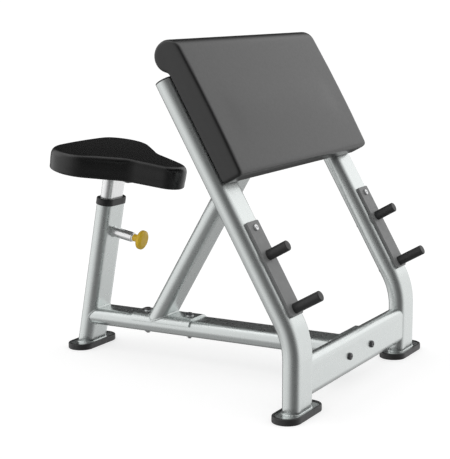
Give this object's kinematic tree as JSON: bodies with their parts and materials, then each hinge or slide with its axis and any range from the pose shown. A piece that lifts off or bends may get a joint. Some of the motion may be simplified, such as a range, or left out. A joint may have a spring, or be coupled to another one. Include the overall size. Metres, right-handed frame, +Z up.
{
  "type": "preacher curl bench",
  "caption": "Preacher curl bench: sloped padded arm rest on leaning flat-oval uprights with bar rest pegs, and a shaped seat on a pin-locked sliding stem",
  "frame": {"origin": "on the floor, under the middle of the bench's bounding box", "axes": "+X from the seat to the bar rests, +Y to the sitting user's left, +Z up"},
  "size_m": [0.9882, 0.904, 0.9488],
  "materials": {
    "silver_paint": "satin",
    "grey_paint": "satin",
    "dark_bolt": "satin",
    "zinc": "satin",
    "foot_rubber": "matte",
    "peg_rubber": "matte",
    "black_plastic": "satin",
    "chrome": "polished",
    "pad_vinyl": "satin",
    "seat_vinyl": "satin",
    "plywood": "matte",
    "knob": "satin"
  },
  "bodies": {
    "frame": {"left_upright": "silver_paint", "right_upright": "silver_paint", "front_crossbeam": "silver_paint", "upper_crossbeam": "silver_paint", "base_beam": "silver_paint", "seat_post": "silver_paint", "brace": "silver_paint", "base_flange": "silver_paint", "brace_flange": "silver_paint", "brace_saddle": "silver_paint", "left_foot_plate": "silver_paint", "right_foot_plate": "silver_paint", "rear_foot_plate": "silver_paint", "left_rest_plate": "grey_paint", "right_rest_plate": "grey_paint", "crossbeam_bolts": "dark_bolt", "saddle_bolts": "dark_bolt", "brace_flange_bolts": "dark_bolt", "arm_pad_bolts": "dark_bolt", "crossbeam_washers": "zinc", "crossbeam_nuts": "zinc", "saddle_washers": "zinc", "saddle_nuts": "zinc", "brace_rivet_nuts": "zinc", "left_rest_bolt": "zinc", "right_rest_bolt": "zinc", "left_rest_rivet_nut": "zinc", "right_rest_rivet_nut": "zinc", "left_peg_washers": "zinc", "right_peg_washers": "zinc", "left_peg_nuts": "zinc", "right_peg_nuts": "zinc", "left_peg_rods": "zinc", "right_peg_rods": "zinc", "arm_pad_washers": "zinc", "arm_pad_tee_nuts": "zinc", "pin_spring": "zinc", "left_foot": "foot_rubber", "right_foot": "foot_rubber", "rear_foot": "foot_rubber", "left_peg_sleeves": "peg_rubber", "right_peg_sleeves": "peg_rubber", "left_end_cap": "black_plastic", "right_end_cap": "black_plastic", "post_bush": "black_plastic", "pin_barrel": "chrome", "pin_end_bush": "chrome", "arm_pad_cushion": "pad_vinyl", "arm_pad_board": "plywood"},
    "seat": {"seat_stem": "chrome", "stem_shoe": "black_plastic", "seat_plate": "grey_paint", "seat_board": "plywood", "seat_cushion": "seat_vinyl", "seat_bolts": "dark_bolt", "seat_tee_nuts": "zinc"},
    "pin": {"pull_pin": "zinc", "pull_knob": "knob"}
  },
  "joints": [
    {"name": "seat_slide", "type": "slide", "parent": "frame", "child": "seat", "axis": [0.1736, 0, 0.9848], "range_m": [-0.05, 0.1]},
    {"name": "pull_pin_slide", "type": "slide", "parent": "frame", "child": "pin", "axis": [0.9848, 0, -0.1736], "range_m": [0, 0.014], "stiffness_N_per_m": 1500, "springref_m": -0.01, "deforming": ["pin_spring"]}
  ]
}
